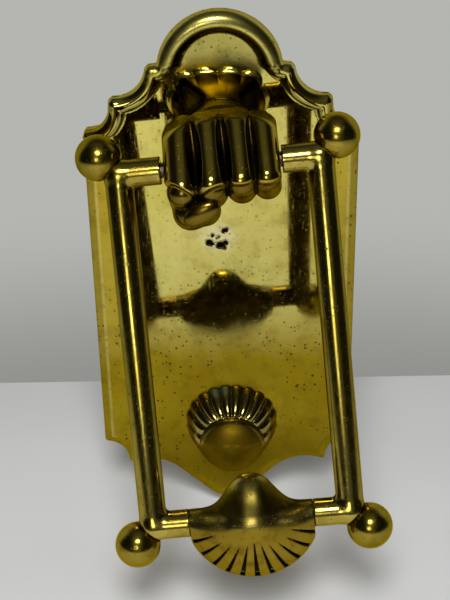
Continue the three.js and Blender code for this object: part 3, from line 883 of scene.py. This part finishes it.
# A darkened copy of brass for the cuff: painted shade
cuff_shaded_brass = brass(
    "cuff_shaded_brass", *CUFF_SHADE_TINTS, rough=(0.10, 0.18), speck=0.2, dirt=(0.35, 0.7),
    # lip: a painted highlight on the lobed lip
    stains_and_painted_light=(("lip", LIP_HIGHLIGHT, 0.9, 0.0),),
)
bail_brass = brass(
    "bail_brass", *BAIL_TINTS, rough=(0.10, 0.20), speck=0.3, dirt=(0.35, 0.62), scratch=0.5, mottle=0.4,
    # flank and back: painted shade on the sides and the back of the bars
    stains_and_painted_light=(("flank_shade", FLANK_SHADE, 0.8, 0.0), ("back", SHADE_BLACK, 0.97, 0.1)),
)
ball_brass = brass(
    "ball_brass", *BALL_TINTS, rough=(0.13, 0.22), speck=0.3, dirt=(0.35, 0.62), scratch=0.5, mottle=0.4,
)
shell_brass = brass(
    "shell_brass", *SHELL_TINTS, rough=(0.16, 0.28), speck=0.35, dirt=(0.35, 0.62), scratch=0.9,
    mottle=0.55,
    stains_and_painted_light=(
        ("shade", SHADE_BROWN, 0.9, 0.1),
        ("fan", FAN_GOLD, 0.85, 0.15),
        # cuts: painted shade in the fan's grooves
        ("cut_shade", SHADE_BLACK, 1.0, 0.2),
        # back: painted shade on the back and top
        ("back", SHADE_BLACK, 0.97, 0.1),
    ),
)
fixing_brass = brass("fixing_brass", *FIXING_TINTS, rough=(0.3, 0.5), speck=0.3)
pin_steel = brass("pin_steel", *STEEL_TINTS, rough=(0.25, 0.4), scratch=0.7)


# ---- marks: where a stain, painted shade or painted highlight lies on a piece, from 0 to 1 ----
HALO_X, HALO_Z = -1.6, 16.4
HALO_HALF = (5.5, 5.0)
RIDGE_HALF = 0.7
RIDGE_LOW = -70
HOOD_INNER = 4.3
LIP_Y = -9.0
GROOVE_SHADE_DEEP = 9.0
SHADE_TOP, SHADE_LOW = -103.0, -115.5
SHADE_SLOPE = 0.2
VERDIGRIS_X, VERDIGRIS_Z = -2.9, -47.6
VERDIGRIS_HALF = (3.4, 2.2)


def halo(p):
    """The pale patch round the casting pits."""
    away = np.hypot((p[:, 0] - HALO_X) / HALO_HALF[0], (p[:, 2] - HALO_Z) / HALO_HALF[1])
    return step01(1.6 - away) * (p[:, 1] < 1 - PLATE_DEPTH)


def pits(p):
    inside = np.zeros(len(p))
    for px, pz, wide, high, _deep in PITS:
        away = np.hypot((p[:, 0] - px) / wide, (p[:, 2] - pz) / high)
        inside = np.maximum(inside, step01((1.08 - away) / 0.25))
    return inside * (p[:, 1] < 2 - PLATE_DEPTH)


def ridge(p):
    """A painted highlight along the line where the face turns into its bevel."""
    d = outline(p[:, 0], p[:, 2])
    line = step01((RIDGE_HALF - np.abs(d + BEVEL_WIDTH)) / 0.6)
    between = (p[:, 2] < SHOULDER_Z - 1) * (p[:, 2] > RIDGE_LOW)
    return line * (p[:, 1] < 1 - PLATE_DEPTH) * between


def hood_shade(p):
    """Painted shade on the inner side of the hood moulding."""
    d = outline(p[:, 0], p[:, 2])
    raised = step01((-PLATE_DEPTH - 0.2 - p[:, 1]) / 0.5)
    return step01(-HOOD_INNER - d) * raised * (p[:, 2] > SHOULDER_Z)


def hand_under_shade(p):
    """Painted shade on the folded fingers below the ledges, and on the thumb."""
    return step01((-0.6 - p[:, 2]) / 2.2)


def hand_top_shade(p):
    """Painted shade on the back of the hand, from the ridge to the wrist."""
    return step01((p[:, 1] + 2.0) / 2.0) * step01((p[:, 2] - 4) / 4)


# Painted shade, near black, in and around the grooves between the fingers
def hand_groove_shade(p):
    return step01(0.9 - finger_grooves(*p.T, deep=GROOVE_SHADE_DEEP))


# A painted highlight on the lobed lip against the plate
def cuff_lip_highlight(p):
    return step01((p[:, 1] - LIP_Y) / 0.4)


def pad_face_shade(p):
    """Painted shade over the smooth face and all of the pad below it."""
    away = np.hypot(p[:, 0] - PAD_X, p[:, 2] - PAD_Z + FACE_DROP) / FACE_RADIUS
    low = step01((PAD_Z - 2 - p[:, 2]) / 5)
    return np.maximum(step01((1.0 - away) / 0.12), low)


def fan_face(p):
    return step01((-BAIL_DROP + 1.0 - p[:, 2]) / 3.0)


# Painted shade, near black, inside the grooves of the fan
def fan_cut_shade(p):
    return step01((0.2 - fan_grooves(p[:, 0], p[:, 2])) / 0.35) * (p[:, 1] < 2)


def crown_shade(p):
    """Painted shade between the crown and the fan."""
    below = step01((SHADE_TOP - p[:, 2] + SHADE_SLOPE * p[:, 0]) / 3.5)
    return below * step01((p[:, 2] - SHADE_LOW) / 2)


def bail_back_shade(p):
    """Painted shade on the side of the bail that faces the plate."""
    return step01((p[:, 1] - 0.1) / 1.2)


def shell_back_shade(p):
    """Painted shade on the back and the top of the striker shell."""
    return step01((p[:, 1] + 1.2) / 1.5)


def flank_shade(p):
    """Painted shade on the sides of the bars."""
    return step01((p[:, 1] + 3.6) / 3.0)


def verdigris(p):
    """The green patch at the top of the pad."""
    dx, dz = p[:, 0] - VERDIGRIS_X, p[:, 2] - VERDIGRIS_Z
    away = np.hypot(dx / VERDIGRIS_HALF[0], dz / VERDIGRIS_HALF[1])
    return step01(1.7 - away) * step01((p[:, 1] + 14) / 6)


# ---- pieces ----
PLATE_STEP = 0.5
PLATE_KEEP = 0.55
CUFF_STEP = 0.4
BAR_STEP = 0.45
FINE_STEP = 0.36
BAR_ROOM = ROD_RADIUS + 1.0
BAR_END = ROD_RADIUS + 1.2

cast("backplate_cast", plate_field, (-49, -12.4, -101), (49, 0.8, 101), PLATE_STEP, ORIGIN, PLATE,
     "mounting", ["backplate"], plate_brass, keep=PLATE_KEEP,
     marks=(("halo", halo), ("pits", pits), ("ridge", ridge), ("under_shade", hood_shade)))
cast("cuff_cast", cuff_field, (-22, -25, 42), (18, -6.5, 83), CUFF_STEP, ORIGIN, PLATE,
     "mounting", ["cuff"], cuff_shaded_brass, marks=(("lip", cuff_lip_highlight),))
cast("hand_cast", hand_field, (-20.5, -19, -21.5), (20.5, 17.5, 21), FINE_STEP, PIVOT, FIST,
     "mounting", ["hand"], hand_brass,
     marks=(("under_shade", hand_under_shade), ("top", hand_top_shade), ("groove", hand_groove_shade)))
cast("strike_pad_cast", pad_field, (-19, -29, -90), (23, -6.5, -42), FINE_STEP, ORIGIN, PLATE,
     "mounting", ["strike_pad"], pad_brass,
     marks=(("verdigris", verdigris), ("face", pad_face_shade)))
cast("striker_shell_cast", shell_field, (-21.5, -14, -139), (21.5, 7, -99), FINE_STEP, BAIL_ORIGIN, BAIL,
     "bail", ["striker_shell"], shell_brass,
     marks=(("back", shell_back_shade), ("fan", fan_face), ("cut_shade", fan_cut_shade), ("shade", crown_shade)))
for side, sign in (("left", -1), ("right", 1)):
    spans = sorted((sign * (STUB_INNER_X - 2), sign * (ROD_X + ROD_RADIUS + 1)))
    low = (spans[0], -BAR_ROOM, -BAIL_DROP - BAR_END)
    high = (spans[1], BAR_ROOM, BAR_END)
    nodes = [f"top_stub_{side}", f"side_rod_{side}", f"bottom_bar_{side}"]
    cast(f"bail_side_{side}", bail_side, low, high, BAR_STEP, BAIL_ORIGIN, BAIL, "bail",
         nodes, bail_brass, marks=(("back", bail_back_shade), ("flank_shade", flank_shade)))
    for level, height in (("top", 0.0), ("bottom", -BAIL_DROP)):
        field, centre = ball_field(sign, height)
        low = [c - BALL_RADIUS - 1 for c in centre]
        high = [c + BALL_RADIUS + 1 for c in centre]
        cast(f"ball_{level}_{side}_cast", field, low, high, FINE_STEP, BAIL_ORIGIN, BAIL, "bail",
             [f"ball_{level}_{side}"], ball_brass)

for node, thing in frame["nodes"].items():
    if thing.hide_render:
        continue
    thing.data.materials.clear()
    thing.data.materials.append(pin_steel if node == "pivot_pin" else fixing_brass)


# ---- floor, light and camera, in metres ----
FLOOR_Z = -0.105
FLOOR_HALF = 0.8
FLOOR_FRONT, FLOOR_BACK = -0.9, 0.0915
FLOOR_TINTS = ((0.80, 0.80, 0.81, 1), (0.86, 0.86, 0.86, 1))


def floor():
    points = [
        (-FLOOR_HALF, FLOOR_FRONT, FLOOR_Z),
        (FLOOR_HALF, FLOOR_FRONT, FLOOR_Z),
        (FLOOR_HALF, FLOOR_BACK, FLOOR_Z),
        (-FLOOR_HALF, FLOOR_BACK, FLOOR_Z),
    ]
    thing = new_mesh("floor", np.array(points), np.array([[0, 1, 2, 3]]))
    n = Nodes("floor")
    n.set(n.shader.inputs["Base Color"], n.mix(n.mapped(n.noise(9), 0.3, 0.7), *FLOOR_TINTS))
    n.set(n.shader.inputs["Roughness"], 0.35)
    n.set(n.shader.inputs["Specular IOR Level"], 0.3)
    thing.data.materials.append(n.material)


def lamp(name, place, aim, size, power):
    data = bpy.data.lights.new(name, "AREA")
    data.shape = "DISK"
    data.size = size
    data.energy = power
    thing = bpy.data.objects.new(name, data)
    bpy.context.scene.collection.objects.link(thing)
    thing.location = place
    thing.rotation_mode = "QUATERNION"
    thing.rotation_quaternion = (Vector(aim) - Vector(place)).to_track_quat("-Z", "Y")
    return thing


WORLD_COLOUR = (0.985, 1.0, 0.94)


def world():
    """A pale wall behind the object, darker low down and overhead, and a dim room in front."""
    made = bpy.data.worlds.new("studio")
    bpy.context.scene.world = made
    made.use_nodes = True
    tree = made.node_tree
    sky = tree.nodes["Background"]
    direction = tree.nodes.new("ShaderNodeTexCoord").outputs["Generated"]
    parts = tree.nodes.new("ShaderNodeSeparateXYZ")
    tree.links.new(direction, parts.inputs[0])

    def ramp(source, low, high, to_low, to_high):
        node = tree.nodes.new("ShaderNodeMapRange")
        node.interpolation_type = "SMOOTHSTEP"
        for name, value in (("From Min", low), ("From Max", high), ("To Min", to_low), ("To Max", to_high)):
            if isinstance(value, bpy.types.NodeSocket):
                tree.links.new(value, node.inputs[name])
            else:
                node.inputs[name].default_value = value
        tree.links.new(source, node.inputs["Value"])
        return node.outputs["Result"]

    wall = ramp(parts.outputs["Z"], -0.54, -0.40, 0.28, 0.465)
    wall = ramp(parts.outputs["Z"], 0.5, 0.9, wall, 0.04)
    aside = tree.nodes.new("ShaderNodeMath")
    aside.operation = "ABSOLUTE"
    tree.links.new(parts.outputs["X"], aside.inputs[0])
    front = ramp(aside.outputs[0], 0.15, 0.6, 0.11, 0.012)
    level = ramp(parts.outputs["Y"], 0.0, 0.4, front, wall)
    colour = tree.nodes.new("ShaderNodeCombineColor")
    for channel, share in enumerate(WORLD_COLOUR):
        part = tree.nodes.new("ShaderNodeMath")
        part.operation = "MULTIPLY"
        part.inputs[1].default_value = share
        tree.links.new(level, part.inputs[0])
        tree.links.new(part.outputs[0], colour.inputs[channel])
    tree.links.new(colour.outputs[0], sky.inputs["Color"])


floor()
world()
OBJECT_MIDDLE = (0, -0.05, 0)
FLOOR_MIDDLE = (0, -0.30, FLOOR_Z)
CAMERA = Vector((0.001812, -0.415098, 0.209970))
RIGHT = Vector((0.99984, -0.00527, -0.01686))
DOWN = Vector((-0.01735, -0.47330, -0.88073))
FORWARD = Vector((-0.00334, 0.88089, -0.47331))
LENS_MM = 75
SENSOR_MM = 36
lamp("key", (-0.01, -0.55, 0.60), OBJECT_MIDDLE, 0.22, 2.6)
lamp("low", (-0.09, -0.80, 0.24), OBJECT_MIDDLE, 0.22, 0.5)
over = lamp("over", (0.0, -0.62, 0.50), FLOOR_MIDDLE, 0.3, 2.9)
over.visible_glossy = False
bpy.context.scene.view_settings.view_transform = "Standard"
bpy.context.scene.view_settings.look = "None"

camera = bpy.data.objects.new("camera", bpy.data.cameras.new("camera"))
bpy.context.scene.collection.objects.link(camera)
camera.data.lens = LENS_MM
camera.data.sensor_width = SENSOR_MM
camera.data.clip_start = 0.01
camera.data.clip_end = 20
turned = Matrix((RIGHT, -DOWN, -FORWARD)).transposed()
camera.location = CAMERA
camera.rotation_mode = "QUATERNION"
camera.rotation_quaternion = turned.to_quaternion()
bpy.context.scene.camera = camera
